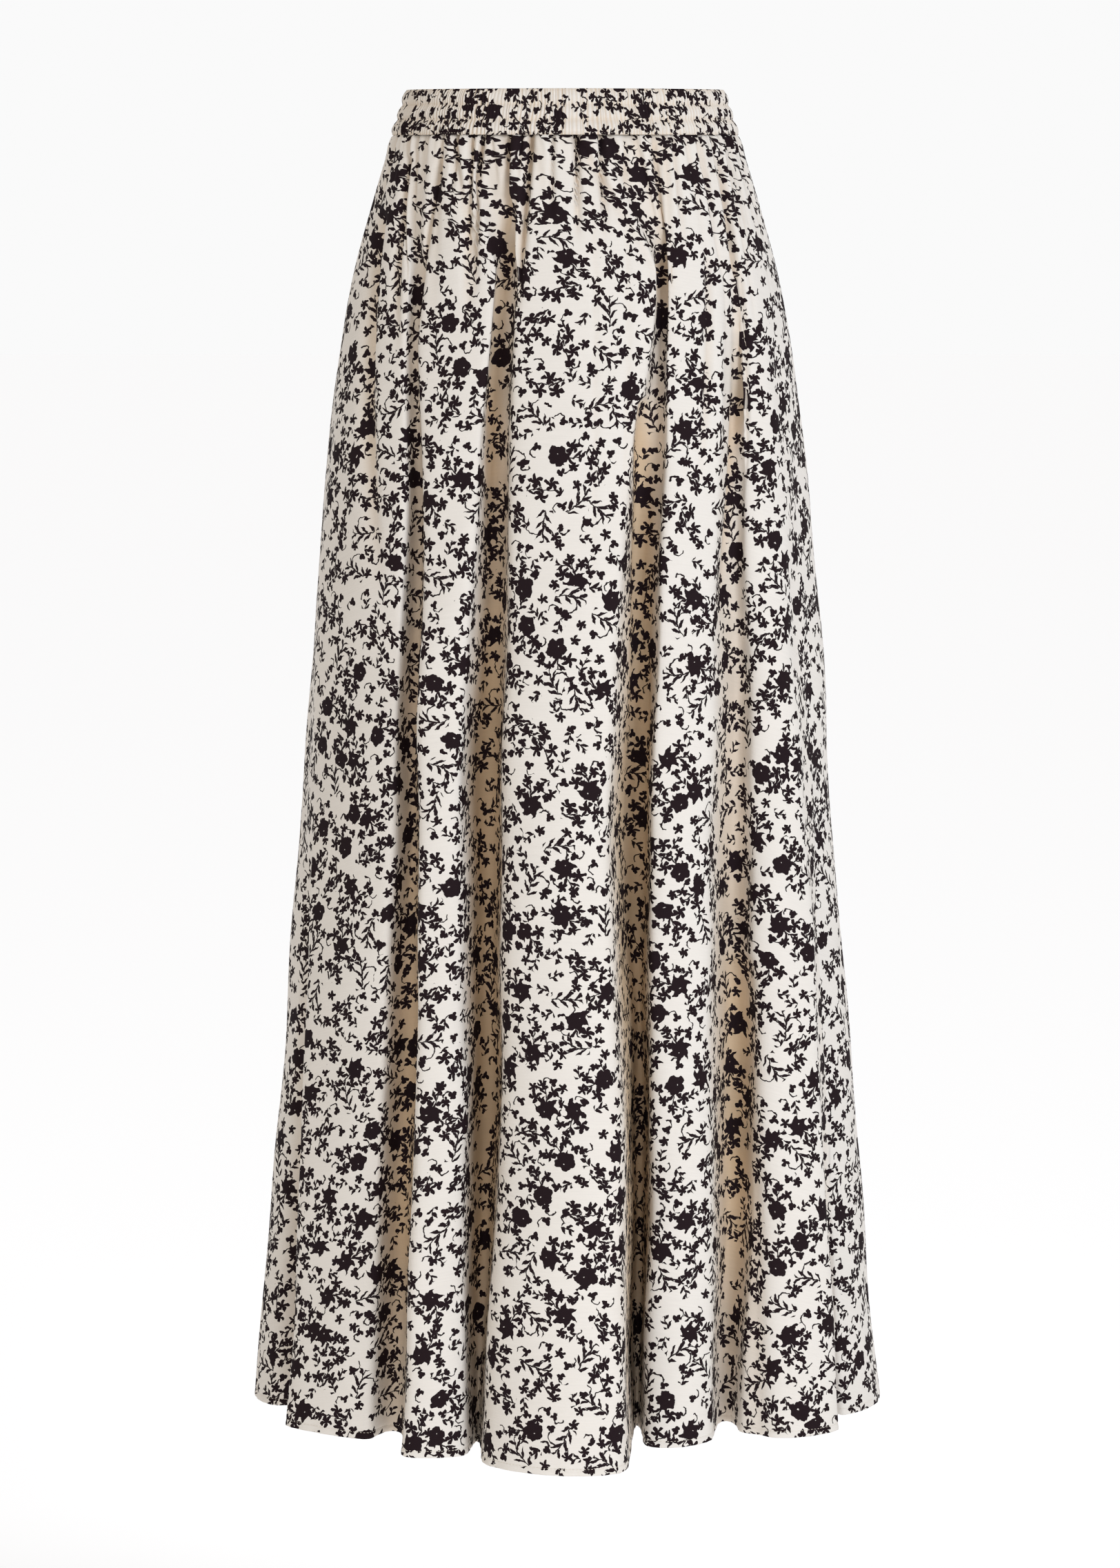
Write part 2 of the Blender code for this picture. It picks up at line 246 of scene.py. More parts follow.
def blend_of_corners(place):
    """The four corners that a smooth closed curve mixes at each place, and their shares."""
    first = np.floor(place).astype(int)
    t = place - first
    before, after = 3 * t**3 - 6 * t**2 + 4, -3 * t**3 + 3 * t**2 + 3 * t + 1
    shares = np.stack([(1 - t) ** 3, before, after, t**3], -1)
    corners = first[:, None] + np.arange(-1, 3)
    return corners, shares / 6


def section(drop, place):
    """Plan points of the folded section, the angle that each belongs to and its depth in a fold."""
    angles, insets, folds = outline_points(drop)
    corners, shares = blend_of_corners(place)
    turns = np.floor_divide(corners, CORNERS)
    angle_of = angles[corners % CORNERS] + 360 * turns
    on_figure, inward = figure(drop, angle_of)
    inset = insets[corners % CORNERS]
    plan = ((on_figure + inward * inset[..., None]) * shares[..., None]).sum(1)
    return plan, (angle_of * shares).sum(1), (folds[corners % CORNERS] * shares).sum(1)


def arcs(points):
    """How far along a line of points each one is."""
    return np.concatenate([[0], np.cumsum(np.linalg.norm(np.diff(points, axis=0), axis=1))])


def square_to(along):
    """Unit vectors in the plan, to the left of each direction."""
    across = np.stack([-along[:, 1], along[:, 0]], -1)
    return across / np.linalg.norm(across, axis=1, keepdims=True)


hem_line, _, _ = section(HEM_DROP, LEFT_SEAM + np.linspace(0, CORNERS, 600))
print("round the hem:", round(float(arcs(hem_line)[-1]), 3), "m")

# %% [markdown]
# ## Gathers and creases
#
# Where the full width of the cloth is drawn in at the waist it buckles into small
# gathers, uneven in depth and in length, which die out downwards. Two waves round the
# waist make them: a coarse one, and a fine one just under the seam.
# Longer creases cross the gathers where the weight of the cloth pulls on them. Each
# crease has a row of its own, with both its ends, its depth and half its width.

# %% Gathers under the waistband
Gathers = namedtuple("Gathers", "all_round depth_mm length_mm narrow unevenness waver")
GATHERS = (
    Gathers(48, 4.6, 78, 2.5, ((19, 0.28, 1.0), (41, 0.22, 0.0)), ((7, 0.25), (17, 0.15))),
    Gathers(112, 1.6, 26, 1.4, ((13, 0.26, 2.1), (37, 0.24, 0.7)), ((11, 0.45), (29, 0.25))),
)
GATHER_LEAN = 0.6  # above zero, a gather deepens slowly from the left and ends in a sharp edge
CREASE_LEAN = 1.8  # how much steeper the right side of a crease is than its left
LEAST_SHARE = 0.35  # the depth of the slightest gather, as a share of the deepest
SHORTEST_SHARE = 0.3

Crease = namedtuple("Crease", "angle drop end_angle end_drop depth_mm half_width_mm")
CREASES = [Crease(*row) for row in (
    (-68, 0.070, -47, 0.34, 6, 11),
    (-60, 0.030, -47, 0.17, 5, 6),
    (-44, 0.030, -40.5, 0.16, 5.5, 3.4),
    (-38, 0.012, -36, 0.06, 4, 2.4),
    (-32, 0.012, -25, 0.15, 5, 3.6),
    (-28, 0.012, -24.5, 0.13, 7, 2.6),
    (-19, 0.012, -17.5, 0.10, 8, 2.8),
    (-15.5, 0.060, -17.5, 0.32, 6, 5),
    (-14.3, 0.012, -14.5, 0.05, 3.5, 2.0),
    (-11, 0.012, -12.5, 0.14, 9, 3.4),
    (-4, 0.012, -4, 0.08, 4, 2.4),
    (4, 0.012, 3.4, 0.09, 7.5, 2.6),
    (8.5, 0.060, 5.7, 0.37, 1.1, 2),
    (12, 0.012, 11, 0.09, 6.5, 2.6),
    (17.5, 0.080, 13.0, 0.30, 1.2, 2),
    (20, 0.200, 13.5, 0.64, 8, 6),
    (20.2, 0.012, 18.5, 0.06, 3.5, 2.2),
    (31, 0.012, 25, 0.17, 7, 4),
    (38, 0.012, 35, 0.10, 3.5, 2.6),
    (43, 0.100, 33, 0.26, 3.5, 3.4),
    (51, 0.012, 49, 0.08, 3, 2.4),
    (59, 0.030, 38.7, 0.36, 7.5, 4.4),
    (56, 0.110, 47.5, 0.27, 4, 2.2),
    (67, 0.012, 63, 0.11, 4, 2.8),
    (43, 0.600, 35, 1.20, 5, 12),
    (132, 0.050, 143, 0.28, 6, 11),
    (151, 0.016, 154, 0.14, 3.5, 5),
    (176, 0.016, 178, 0.16, 4.5, 6),
    (203, 0.016, 200, 0.12, 3.5, 5),
    (230, 0.050, 219, 0.30, 6, 11),
)]
CREASE_ALONG = (0, 0.08, 0.6, 1)
CREASE_STRENGTH = (0.5, 1, 1, 0)


def gather_depth(drop, angle, turn):
    """How far in the gathers and the creases draw the cloth at each angle and turn round it."""
    below = drop - SKIRT_TOP
    depth = np.zeros_like(turn)
    for g in GATHERS:
        fullness = 0.5 + sum(share * np.sin(times * turn + at) for times, share, at in g.unevenness)
        waver = sum(share * np.sin(times * turn) for times, share in g.waver)
        length = g.length_mm / 1000 * (SHORTEST_SHARE + fullness)
        pull = g.depth_mm / 1000 * (LEAST_SHARE + (1 - LEAST_SHARE) * fullness)
        phase = g.all_round * turn + 2 * np.pi * waver
        wave = (0.5 - 0.5 * np.cos(phase + GATHER_LEAN * np.cos(phase))) ** g.narrow
        depth += pull * wave * np.exp(-((below / length) ** 2))
    for crease in CREASES:
        along = (drop - crease.drop) / (crease.end_drop - crease.drop)
        if 0 <= along <= 1:
            middle = crease.angle + along * (crease.end_angle - crease.angle)
            half_width = np.degrees(crease.half_width_mm / 1000 / HIP_RADIUS)
            away = ((angle - middle + 180) % 360 - 180) / half_width
            away = np.where(away > 0, CREASE_LEAN * away, away)
            strength = np.interp(along, CREASE_ALONG, CREASE_STRENGTH)
            depth += crease.depth_mm / 1000 * strength * np.exp(-(away**2))
    return depth


print(sum(g.all_round for g in GATHERS), "gathers and", len(CREASES), "longer creases")

# %% [markdown]
# ## Rings of cloth
#
# A ring is the cloth at one drop: the folded section, drawn in by the gathers, swelling
# out a little just under the waistband, and never quite even lower down. The cloth ends
# in a narrow hem that turns up inside, with a groove where its stitches pull it in.
#
# Each point also gets a number that says how shut in it is, from 0 on a crest to 1 deep
# in a fold. The cloth's colour uses it later on for painted shade, darker and warmer the
# more shut in a point is.

# %% One ring of cloth
PUFF_MM, PUFF_AT, PUFF_HALF = 1.1, 0.0225, 0.006
Swell = namedtuple("Swell", "times_round per_metre depth_mm at")
SWELLS = (Swell(9, 3.1, 0.7, 0.4), Swell(23, 7.3, 0.45, 2.0), Swell(-14, 5.2, 0.5, 4.1))
FULL_SWELL_AT = 0.3  # the drop from which the swells have their full depth
PUCKER_MM, PUCKERS, PUCKERS_FROM = 0.25, 190, 0.934
PUCKERS_DRIFT, DRIFTS = 2, 31  # how far and how often the puckers stray from even places

HemRow = namedtuple("HemRow", "drop inset_mm")
HEM_ROWS = [HemRow(*row) for row in (
    (0.9405, 0.0),
    (0.9420, 0.05),
    (0.9430, 0.28),
    (0.9436, 0.32),
    (0.9444, 0.02),
    (0.9458, -0.18),
    (0.9472, -0.15),
    (0.9480, 0.05),
    (0.9483, 0.45),
    (0.9480, 0.95),
    (0.9462, 1.25),
    (0.9436, 1.15),
    (0.9395, 1.30),
    (0.9378, 1.30),
)]
TOP_ROWS = (HemRow(0.0135, 1.2), HemRow(0.0150, 1.1), HemRow(0.0163, 0.7), HemRow(0.0176, 0.0))
HEM_STITCHES = HemRow(0.9434, 0.15)
# Painted shade: how shut in a point is later darkens and warms the cloth's colour. These say how
# strongly folds and gathers shade it, and how much less near the hem.
FULL_PAINTED_SHADE_AT = 0.045  # a fold this deep lets no more light in straight
GATHER_FULL_PAINTED_SHADE_AT = 0.012
MOST_GATHER_PAINTED_SHADE = 0.6  # a gather never shuts the light out as a deep fold does
PAINTED_SHADE_NEAR_HEM = ((0.80, 1.0), (0.948, 0.4))  # light gets in under the hem: drops and shares
SMALL_STEP = 0.04  # in corners, to either side of a place whose direction is wanted


def ring(row, place, extra_mm=0.0):
    """Points of the cloth at one row of its grid, and its painted shade: how shut in each is, from
    0 to 1.
    """
    plan, angle, fold = section(row.drop, place)
    turn = 2 * np.pi * (place - LEFT_SEAM) / CORNERS
    inset = row.inset_mm + extra_mm - PUFF_MM * np.exp(-(((row.drop - PUFF_AT) / PUFF_HALF) ** 2))
    for swell in SWELLS:
        wave = np.sin(swell.times_round * turn + swell.per_metre * 2 * np.pi * row.drop + swell.at)
        inset = inset + swell.depth_mm * min(1.0, row.drop / FULL_SWELL_AT) * wave
    if row.drop > PUCKERS_FROM:
        inset = inset + PUCKER_MM * np.sin(PUCKERS * turn + PUCKERS_DRIFT * np.sin(DRIFTS * turn))
    gathered = gather_depth(row.drop, angle, turn)
    ahead, behind = (section(row.drop, place + step)[0] for step in (SMALL_STEP, -SMALL_STEP))
    plan = plan + square_to(ahead - behind) * (gathered + inset / 1000)[:, None]
    # Painted shade, from the depth of the fold and of the gathers, less towards the hem.
    painted_shade = np.clip(fold / FULL_PAINTED_SHADE_AT, 0, 1)
    painted_shade = painted_shade + np.clip(gathered / GATHER_FULL_PAINTED_SHADE_AT, 0, MOST_GATHER_PAINTED_SHADE)
    painted_shade = np.clip(painted_shade, 0, 1) * np.interp(row.drop, *zip(*PAINTED_SHADE_NEAR_HEM))
    return np.column_stack([plan, np.full(len(plan), -row.drop)]), painted_shade


whole = LEFT_SEAM + np.linspace(0, CORNERS, 4000)
print("cloth under the waistband:", round(float(arcs(ring(TOP_ROWS[-1], whole)[0])[-1]), 3), "m")

# %% [markdown]
# ## A panel of cloth
#
# Front and back are cut as two fans: narrow at the waist, wide at the hem. One grid is
# enough for each, because its lines can follow the cloth: the columns run down the
# folds and the rows round the figure. A Solidify modifier then gives it the thickness
# of cloth.
#
# The same walk over the rows measures the cloth. The place of each point on the flat
# fan goes into a UV map called cut, in metres, so the print isn't stretched over the
# shape. The length that the gathers take up is evened out along each row, or the print
# would slant where each of them ends.

# %% Rows and columns of a panel
PANEL_COLUMNS = 284
PLAIN_ROWS = 142
ROW_SPREAD = 1.25  # above one, rows lie closer at the top
FIRST_GAP = 0.0014  # from the rows at the top to the first plain one
EVEN_AT = (0.02, 0.12, 0.35, 0.65, 0.948)  # drops at which the columns share out the cloth
SEAM_TURN = ((0.0, 1.2), (0.9, 0.5), (2.2, 0.1))  # mm from a side seam, and mm drawn in there
HALF_ROUND = CORNERS / 2
FAN_RADIUS = 0.42  # from the point of the fan to its narrow edge
SHARED_OVER = 41  # columns that share the extra length of a gather

share_down = np.linspace(0, 1, PLAIN_ROWS + 1)[:-1] ** ROW_SPREAD
plain_from, plain_to = TOP_ROWS[-1].drop + FIRST_GAP, HEM_ROWS[0].drop
plain_rows = [HemRow(plain_from + (plain_to - plain_from) * share, 0.0) for share in share_down]
PANEL_ROWS = [*TOP_ROWS, *plain_rows, *HEM_ROWS]


def even_places(first):
    """Places of the columns from one side seam to the other, each with a like share of cloth."""
    fine = np.linspace(first, first + HALF_ROUND, 2400)
    lengths = [arcs(section(drop, fine)[0]) for drop in EVEN_AT]
    share = sum(length / length[-1] for length in lengths) / len(lengths)
    middle = lengths[len(lengths) // 2][-1]
    ends = np.array([from_seam / 1000 / middle for from_seam, _ in SEAM_TURN])
    inner = PANEL_COLUMNS + 1 - 2 * len(ends)
    inner = np.linspace(ends[-1], 1 - ends[-1], inner + 2)[1:-1]
    return np.interp(np.concatenate([ends, inner, 1 - ends[::-1]]), share, fine)


def flat_arcs(plain, gathered):
    """How far along the flat cloth each column is, with the length of the gathers evened out."""
    window = np.hanning(SHARED_OVER + 2)[1:-1]
    extra = np.pad(gathered - plain, SHARED_OVER // 2, mode="edge")
    return gathered - np.convolve(extra, window / window.sum(), "valid")


def panel_grid(first, backwards):
    """Points of one panel by column and row, their places on its flat fan, and how shut in, which
    sets the painted shade.
    """
    places = even_places(first)
    middle = len(places) // 2
    drawn_in = np.zeros(len(places))
    for k, (_, inset) in enumerate(SEAM_TURN):
        drawn_in[[k, -1 - k]] = inset
    points, cuts, folds = [], [], []
    length, before = 0.0, None
    for row in PANEL_ROWS:
        line, painted_shade = ring(row, places, drawn_in)
        line[[0, -1], 1] += backwards * SEAM_GAP / 2
        if before is not None:
            length += float(np.median(np.linalg.norm(line - before, axis=1)))
        before = line
        along = flat_arcs(arcs(section(row.drop, places)[0]), arcs(line))
        radius = FAN_RADIUS + length
        turn = (along - along[middle]) / radius
        cuts.append(np.stack([radius * np.sin(turn), -radius * np.cos(turn)], -1))
        points.append(line)
        folds.append(painted_shade)
    return np.stack(points, 1), np.stack(cuts, 1), np.stack(folds, 1)


print(len(even_places(LEFT_SEAM)) - 1, "columns and", len(PANEL_ROWS) - 1, "rows in each panel")

# %% Grids bent to their points


def link_piece(name, grid, materials):
    mesh = bpy.data.meshes.new(name)
    grid.to_mesh(mesh)
    grid.free()
    mesh.shade_smooth()
    piece = bpy.data.objects.new(name, mesh)
    for material in materials:
        mesh.materials.append(material)
    bpy.context.scene.collection.objects.link(piece)
    return piece


def cloth_grid(name, points, cuts, folds, thickness, materials):
    """A sheet of cloth with points[column, row], which lie flat at cuts[column, row] and are
    as shut in as folds[column, row] says; the fold attribute carries that to the painted shade."""
    columns, rows = points.shape[0] - 1, points.shape[1] - 1
    grid = bmesh.new()
    bmesh.ops.create_grid(grid, x_segments=columns, y_segments=rows, size=1)
    # The fold attribute holds the painted-shade mask of each point.
    cut = grid.loops.layers.uv.new("cut")
    fold = grid.verts.layers.float.new("fold")
    for vertex in grid.verts:
        column = round((vertex.co.x + 1) / 2 * columns)
        row = round((1 - vertex.co.y) / 2 * rows)
        vertex.co = points[column, row]
        vertex[fold] = folds[column, row]
        for loop in vertex.link_loops:
            loop[cut].uv = cuts[column, row]
    piece = link_piece(name, grid, materials)
    shell = piece.modifiers.new("cloth thickness", "SOLIDIFY")
    shell.thickness = thickness
    shell.offset = -1
    shell.material_offset = len(materials) - 1
    return piece


def flat_area(cuts):
    """The area of a grid as it lies flat."""
    across = cuts[1:, :-1] - cuts[:-1, :-1]
    down = cuts[:-1, 1:] - cuts[:-1, :-1]
    return float(abs(across[..., 0] * down[..., 1] - across[..., 1] * down[..., 0]).sum())


# %% [markdown]
# ## Writing shader maths as sums
#
# A print is drawn by arithmetic on the cloth's own coordinates. That takes hundreds of
# nodes, too many to wire by hand. So one small class wraps a socket: an expression
# written with + - * adds its Math nodes, and `node` adds a node of any other kind.

# %% One class for shader sockets


class Thread:
    """One output socket of a node tree, on which sums add Math nodes."""

    def __init__(self, tree, socket):
        self.tree = tree
        self.socket = socket

    def node(self, kind, settings=None, inputs=None, output=0):
        """Add a node of any kind, with its settings first and then its sockets."""
        made = self.tree.nodes.new(kind)
        for name, value in (settings or {}).items():
            setattr(made, name, value)
        for name, value in (inputs or {}).items():
            if isinstance(value, Thread):
                self.tree.links.new(value.socket, made.inputs[name])
            else:
                made.inputs[name].default_value = value
        return Thread(self.tree, made.outputs[output])

    def math(self, operation, *values):
        places = dict(enumerate((self,) + values))
        return self.node("ShaderNodeMath", {"operation": operation}, places)

    def vector(self, operation, *values, output=0):
        places = dict(enumerate((self,) + values))
        return self.node("ShaderNodeVectorMath", {"operation": operation}, places, output)

    def part(self, axis):
        return self.node("ShaderNodeSeparateXYZ", inputs={0: self}, output="XYZ".index(axis))

    def turned(self, angle):
        rotate, inputs = {"rotation_type": "Z_AXIS"}, {"Vector": self, "Angle": angle}
        return self.node("ShaderNodeVectorRotate", rotate, inputs)

    def noise(self, scale, detail, output=0):
        inputs = {"Vector": self, "Scale": scale, "Detail": detail}
        return self.node("ShaderNodeTexNoise", {"noise_dimensions": "2D"}, inputs, output)

    def __add__(self, other):
        return self.math("ADD", other)

    def __sub__(self, other):
        return self.math("SUBTRACT", other)

    def __rsub__(self, other):
        return self.node("ShaderNodeMath", {"operation": "SUBTRACT"}, {0: other, 1: self})

    def __mul__(self, other):
        return self.math("MULTIPLY", other)

    def __abs__(self):
        return self.math("ABSOLUTE")

    __radd__, __rmul__ = __add__, __mul__


def least(first, *others):
    """Keep what lies inside every shape."""
    for other in others:
        first = first.math("MINIMUM", other)
    return first


def most(first, *others):
    """Join shapes: keep what lies inside any of them."""
    for other in others:
        first = first.math("MAXIMUM", other)
    return first


# %% [markdown]
# ## A tossed floral print
#
# Small bouquets scattered every way round are called a tossed ditsy print. Each motif
# is a signed height in millimetres of cloth: above zero there is ink. Spots come from a
# Voronoi texture, which gives every point of the cloth its nearest spot and a random
# colour. The colour turns the motif, bends it and picks its kind, so no two look the
# same. A second, closer layer of spots fills the gaps that the first one leaves.

# %% Shapes that the print is drawn with
STEM = 0.6  # mm
LEAF_SLOPE = 0.7  # radians from a leaf to its stem
BEND = 0.06  # the strongest bend of a motif, per mm
FAR_OUTSIDE = 10  # mm
FULL_TURN = 2 * math.pi
Leaves = namedtuple("Leaves", "gap length width")


def nearest_spot(cloth, pitch, evenness):
    """The Voronoi spots of one layer, as seen from each place on the cloth."""
    settings = {"voronoi_dimensions": "2D", "feature": "F1"}
    sockets = {"Vector": cloth, "Scale": 1 / pitch, "Randomness": 1 - evenness}
    return cloth.node("ShaderNodeTexVoronoi", settings, sockets, output="Position")


def scatter(cloth, pitch, evenness):
    """Millimetres from the nearest spot, turned its own way, its random values and its place."""
    spot = nearest_spot(cloth, pitch, evenness)
    colour = Thread(spot.tree, spot.socket.node.outputs["Color"])
    turn, kind, bend = [colour.part(axis) for axis in "XYZ"]
    return cloth.vector("SUBTRACT", spot).turned(turn * FULL_TURN), kind, bend, spot


def flower(place, centre, petals, radius, lobe, curl=0.1):
    """A head seen from above. Its petals reach lobe past the notches between them, or end in
    points where lobe is below zero, and curl turns their ends round."""
    away = place.vector("SUBTRACT", (*centre, 0))
    distance = away.vector("LENGTH", output=1)
    angle = distance.math("MULTIPLY_ADD", curl, away.part("Y").math("ARCTAN2", away.part("X")))
    wave = abs((angle * (petals * 0.5)).math("SINE"))
    return wave * lobe + radius - distance


def spray(x, y, start, end, leaves):
    """Slender leaves by turns left and right of a stem along x, with the stem itself."""
    along = y.math("SIGN").math("MULTIPLY_ADD", leaves.gap / 4, x)
    along = along.math("FLOORED_MODULO", leaves.gap)
    out = abs(y)
    cos, sin = math.cos(LEAF_SLOPE), math.sin(LEAF_SLOPE)
    lengthwise = along * cos + out * sin
    across = abs(out * cos - along * sin)
    bulge = lengthwise * (2 / leaves.length) - 1
    leaf = (1 - bulge * bulge) * (leaves.width / 2) - across
    return least(most(leaf, STEM / 2 - out), x - start, end - x)


def straight_stem(x, y, start, end):
    """A thin line between two points."""
    run, rise = end[0] - start[0], end[1] - start[1]
    long = math.hypot(run, rise)
    x, y = x - start[0], y - start[1]
    away = abs(x * (rise / long) - y * (run / long))
    along = x * (run / long) + y * (rise / long)
    return least(STEM / 2 - away, along, long - along)


def arc_stem(place, x, centre, radius, side):
    """Half a ring of thin stem."""
    distance = place.vector("DISTANCE", (*centre, 0), output=1)
    return least(STEM / 2 - abs(distance - radius), (x - centre[0]) * side)


def shown_if(shape, test):
    """The shape where the test is above zero, and nothing elsewhere."""
    return least(shape, test.math("GREATER_THAN", 0.0) * (2 * FAR_OUTSIDE) - FAR_OUTSIDE)


def bent(place, amount):
    """The place pushed sideways along a curve, and its two parts."""
    x, y = place.part("X"), place.part("Y")
    y = y - x * x * amount * BEND
    return place.node("ShaderNodeCombineXYZ", inputs={0: x, 1: y}), x, y


# %% The print
BOUQUET_PITCH, BOUQUET_EVENNESS = 27.0, 0.36
FILLER_PITCH, FILLER_EVENNESS = 11.2, 0.3
ROOM = 10.8  # from the middle of a bouquet to the nearest filler
BIAS = 0.55  # turns the rows of spots away from the threads, so that they don't show as rows
WOBBLE_MM, WOBBLE_SCALE = 2.4, 0.3  # uneven drawing, as by a brush
STAR, ROUND = (8.2, -3.6), (4.8, 1.4)  # the radius and lobe of a large bloom of either kind
OPEN_FLOWER = (5, 1.35, 3.3)  # the petals, radius and lobe of a flower of its own
SMALL_FLOWER = (5, 1.3, 2.2)
BUD = (3, 1.3, 1.6)
STARS_UNTIL, BOUQUETS_UNTIL, CLUSTERS_UNTIL = 0.28, 0.45, 0.72  # shares of the large spots
HUNG_UNTIL, SINGLES_UNTIL = 0.4, 0.62  # shares of the fillers
SPREAD = 0.16  # mm that the ink creeps past the drawn edge
EDGE = 3.5  # how fast it fades there, in shares of a millimetre


def bouquet(place, x, y, kind, bend):
    """A large bloom, a star or a round one, with leaves, small flowers and a hanging bud."""
    rounded = kind.math("GREATER_THAN", STARS_UNTIL)
    radius = bend + STAR[0] - rounded * (STAR[0] - ROUND[0])
    lobe = rounded * (ROUND[1] - STAR[1]) + STAR[1]
    bloom = flower(place, (-4.6, 0), 6 - rounded, radius, lobe)
    bloom = least(bloom, place.vector("DISTANCE", (-5.6, 1.6, 0), output=1) - 0.5)
    leaves = spray(x, y, -1.0, 10.0, Leaves(6.6, 7.4, 1.8))
    open_flower = flower(place, (3.6, 7.2), *OPEN_FLOWER)
    small = [flower(place, centre, *SMALL_FLOWER) for centre in ((11.6, 0.4), (6.6, -6.0))]
    stem = arc_stem(place, x, (0.6, -5.0), 4.8, 1)
    bud = flower(place, (-0.8, -10.0), *BUD)
    return most(bloom, leaves, open_flower, *small, stem, bud)


def cluster(place, x, y, beside):
    """Open flowers in a close group, with leaves between them and a small flower."""
    pair = flower(beside, (-3.4, 5.0), *OPEN_FLOWER)
    third = flower(place, (5.2, 2.0), *OPEN_FLOWER)
    tip = flower(place, (10.6, -3.4), *SMALL_FLOWER)
    stem = straight_stem(x, y, (-3.0, -1.0), (9.6, -3.0))
    return most(pair, third, tip, stem, spray(x, y, -11.0, -1.0, Leaves(5.6, 5.8, 1.7)))


def sprig(place, x, y):
    """A branch of slender leaves with a small flower, and a bud on a long curved stem."""
    branch = spray(x, y, -10.5, 9.5, Leaves(6.6, 7.6, 1.8))
    fork = straight_stem(x, y, (-3.0, 0.0), (5.5, 7.5))
    ends = most(flower(place, (6.2, 8.2), *SMALL_FLOWER), flower(place, (-3.4, -11.2), *BUD))
    return most(branch, fork, ends, arc_stem(place, x, (-1.0, -5.6), 5.4, 1))


def large_motifs(drawn):
    """The ink of the first layer: a bouquet, a cluster or a sprig on each spot."""
    place, kind, bend, _ = scatter(drawn, BOUQUET_PITCH, BOUQUET_EVENNESS)
    place, x, y = bent(place, bend - 0.5)
    mirrored = {0: y.math("MULTIPLY_ADD", 0.3, x), 1: abs(y)}
    beside = place.node("ShaderNodeCombineXYZ", inputs=mirrored)
    is_cluster = least(kind - BOUQUETS_UNTIL, CLUSTERS_UNTIL - kind)
    return most(
        shown_if(bouquet(place, x, y, kind, bend), BOUQUETS_UNTIL - kind),
        shown_if(cluster(place, x, y, beside), is_cluster),
        shown_if(sprig(place, x, y), kind - CLUSTERS_UNTIL),
    )


def fillers(drawn):
    """The ink of the second layer: a hanging bud, a flower or a twig in each gap."""
    place, kind, bend, spot = scatter(drawn, FILLER_PITCH, FILLER_EVENNESS)
    place, x, y = bent(place, bend - 0.5)
    hung = most(flower(place, (0, -1.8), *BUD), arc_stem(place, x, (0.4, 1.4), 3.2, 1))
    single = flower(place, (0, 0), *SMALL_FLOWER)
    twig = spray(x, y, -4.2, 4.2, Leaves(5.2, 5.0, 1.7))
    any_kind = most(
        shown_if(hung, HUNG_UNTIL - kind),
        shown_if(single, least(kind - HUNG_UNTIL, SINGLES_UNTIL - kind)),
        shown_if(twig, kind - SINGLES_UNTIL),
    )
    owner = nearest_spot(spot, BOUQUET_PITCH, BOUQUET_EVENNESS)
    return shown_if(any_kind, spot.vector("DISTANCE", owner, output=1) - ROOM)


def tossed_print(cloth):
    """The ink of the whole print, from 0 to 1, on cloth measured in millimetres."""
    wobble = cloth.noise(WOBBLE_SCALE, 1.0, output=1)
    most_away = (WOBBLE_MM, WOBBLE_MM, 0)
    half_away = (-WOBBLE_MM / 2, -WOBBLE_MM / 2, 0)
    drawn = cloth.vector("ADD", wobble.vector("MULTIPLY_ADD", most_away, half_away)).turned(BIAS)
    ink = most(large_motifs(drawn), fillers(drawn))
    return (ink * EDGE + (0.5 + SPREAD * EDGE)).math("MINIMUM", 1).math("MAXIMUM", 0)


# %% [markdown]
# ## The cloth
#
# The cloth is cream, and the ink of the print off-black with a touch of purple. Thicker
# threads here and there make faint lines across, and a fine bump takes the plastic look
# away. The wrong side shows the print only as far as the ink soaks through.
#
# Deep in a fold the light has come off cloth several times, and each time it gets
# warmer. A path tracer finds a part of that by itself. The rest is painted shade: the
# cream is mixed towards a darker, warmer tone by how shut in each point of the cloth is.

# %% Materials
CREAM = (0.80, 0.774, 0.757, 1)
# Painted shade: the darker, warmer colour that the cream turns to deep in folds and gathers, in the
# band's rib ditches and along its stitch lines.
PAINTED_FOLD_SHADE = (0.70, 0.540, 0.380, 1)
INK = (0.016, 0.009, 0.012, 1)
WRONG_SIDE_INK = 0.35
CLOTH_SURFACE = {"Roughness": 0.85, "Specular IOR Level": 0.1}
THREAD_SURFACE = {"Base Color": (0.78, 0.73, 0.65, 1), "Roughness": 0.6}
PRINT_SCALE = 1.09
SLUB_STRETCH = (0.05, 0.9, 0)  # thick threads run across, so they are short in height
SLUB_TONE = (0.93, 0.93, 0.93, 1)
SLUB_SHARE = 0.5  # of the height of the bump
BUMP = {"Strength": 0.35, "Distance": 0.0003}


def new_material(name, settings):
    """A new material, its node tree and its one Principled shader with these settings."""
    material = bpy.data.materials.new(name)
    material.use_nodes = True
    tree = material.node_tree
    tree.nodes.clear()
    shader = tree.nodes.new("ShaderNodeBsdfPrincipled")
    output = tree.nodes.new("ShaderNodeOutputMaterial")
    tree.links.new(shader.outputs["BSDF"], output.inputs["Surface"])
    for setting, value in settings.items():
        shader.inputs[setting].default_value = value
    return material, tree, shader


def mixed(share, first, second):
    """Two colours mixed by a share between 0 and 1."""
    mix = {"data_type": "RGBA"}
    return share.node("ShaderNodeMix", mix, {0: share, 6: first, 7: second}, output=2)


